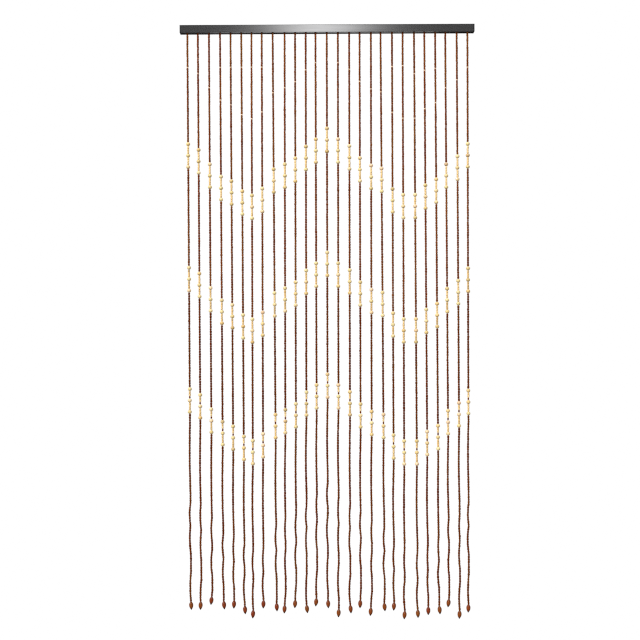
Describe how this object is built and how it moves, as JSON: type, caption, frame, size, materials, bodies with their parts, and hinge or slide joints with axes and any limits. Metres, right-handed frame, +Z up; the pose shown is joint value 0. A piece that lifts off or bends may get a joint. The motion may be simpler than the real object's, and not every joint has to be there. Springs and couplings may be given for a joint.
{
  "type": "bead curtain with header rail",
  "caption": "Doorway curtain of straight threaded strands of small wooden beads with zigzag bands of round pale beads and pointed drops, hung from a slim metal channel.",
  "frame": {"origin": "middle of the header rail's flat back face, which goes against the wall above a doorway", "axes": "+Z up, the strands hang along -Z; +Y out of the rail's back face into the wall, so the curtain's front faces -Y; +X to the right as seen from the front"},
  "size_m": [0.9, 0.021, 1.8189],
  "materials": {
    "rail_metal": "dark grey satin metal with a soft sheen along its length",
    "cap_plastic": "black moulded plastic",
    "brown_bead_wood": "stained brown wood, semi-matt, reddish to olive from bead to bead",
    "pale_bead_wood": "natural pale wood, smooth, with a light wax sheen",
    "drop_wood": "chestnut stained wood, lightly varnished",
    "thread": "dark waxed cord"
  },
  "bodies": {
    "root": {"header_rail": "rail_metal", "end_cap_left": "cap_plastic", "end_cap_right": "cap_plastic", "strand_comb": "brown_bead_wood", "drop_01": "drop_wood", "drop_02": "drop_wood", "drop_03": "drop_wood", "drop_04": "drop_wood", "drop_05": "drop_wood", "drop_06": "drop_wood", "drop_07": "drop_wood", "drop_08": "drop_wood", "drop_09": "drop_wood", "drop_10": "drop_wood", "drop_11": "drop_wood", "drop_12": "drop_wood", "drop_13": "drop_wood", "drop_14": "drop_wood", "drop_15": "drop_wood", "drop_16": "drop_wood", "drop_17": "drop_wood", "drop_18": "drop_wood", "drop_19": "drop_wood", "drop_20": "drop_wood", "drop_21": "drop_wood", "drop_22": "drop_wood", "drop_23": "drop_wood", "drop_24": "drop_wood", "drop_25": "drop_wood", "drop_26": "drop_wood", "drop_27": "drop_wood"}
  },
  "joints": []
}
